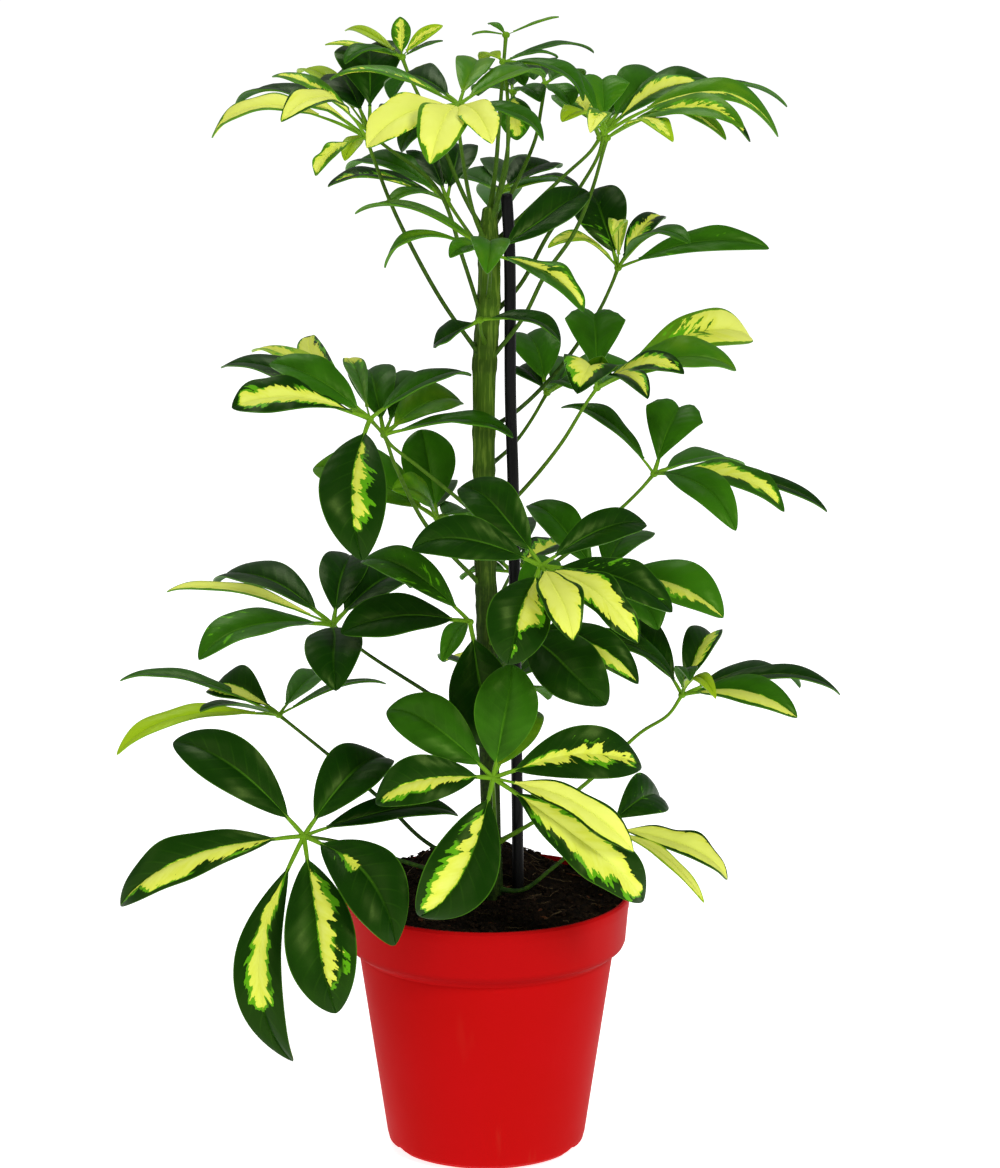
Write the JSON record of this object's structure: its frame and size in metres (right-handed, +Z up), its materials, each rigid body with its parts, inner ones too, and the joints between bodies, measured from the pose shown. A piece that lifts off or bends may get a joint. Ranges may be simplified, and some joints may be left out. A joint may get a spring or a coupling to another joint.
{
  "type": "potted umbrella plant",
  "caption": "Variegated umbrella plant with palmate compound leaves on an upright stem, beside a thin stake, in a round red nursery pot filled with peat.",
  "frame": {"origin": "centre of the pot's foot, on the surface that the pot stands on", "axes": "+Z up along the pot's axis, -Y towards the viewer of the plant's front, +X to that viewer's right"},
  "size_m": [0.3248, 0.2585, 0.512],
  "materials": {
    "pot_plastic": "satin",
    "peat": "matte",
    "stem": "matte",
    "stake_plastic": "satin",
    "leaf": "satin"
  },
  "bodies": {
    "root": {"pot": "pot_plastic", "soil": "peat", "main_stem": "stem", "stake": "stake_plastic", "leaf_low_left_front": "leaf", "leaf_low_left_back": "leaf", "leaf_left_middle": "leaf", "leaf_mid_left_front": "leaf", "leaf_low_front": "leaf", "leaf_mid_front": "leaf", "leaf_mid_right_back": "leaf", "leaf_mid_right_front": "leaf", "leaf_low_right": "leaf", "leaf_low_right_gold": "leaf", "leaf_right_middle": "leaf", "leaf_upper_right_front": "leaf", "leaf_upper_right_back": "leaf", "leaf_upper_left_front": "leaf", "leaf_upper_left_back": "leaf", "leaf_left_inner": "leaf", "leaf_top_left_front": "leaf", "leaf_top_left_back": "leaf", "leaf_top_tuft": "leaf", "leaf_top_sprig": "leaf", "leaf_top_front": "leaf", "leaf_top_young": "leaf", "leaf_top_inner": "leaf", "leaf_top_back": "leaf", "leaf_top_right_front": "leaf", "leaf_top_right_middle": "leaf", "leaf_top_right_back": "leaf", "leaf_crown_right": "leaf", "leaf_crown_front": "leaf", "leaf_stem_front": "leaf", "leaf_crown_left": "leaf", "leaf_low_back": "leaf", "leaf_mid_back": "leaf", "leaf_crown_back": "leaf"}
  },
  "joints": []
}
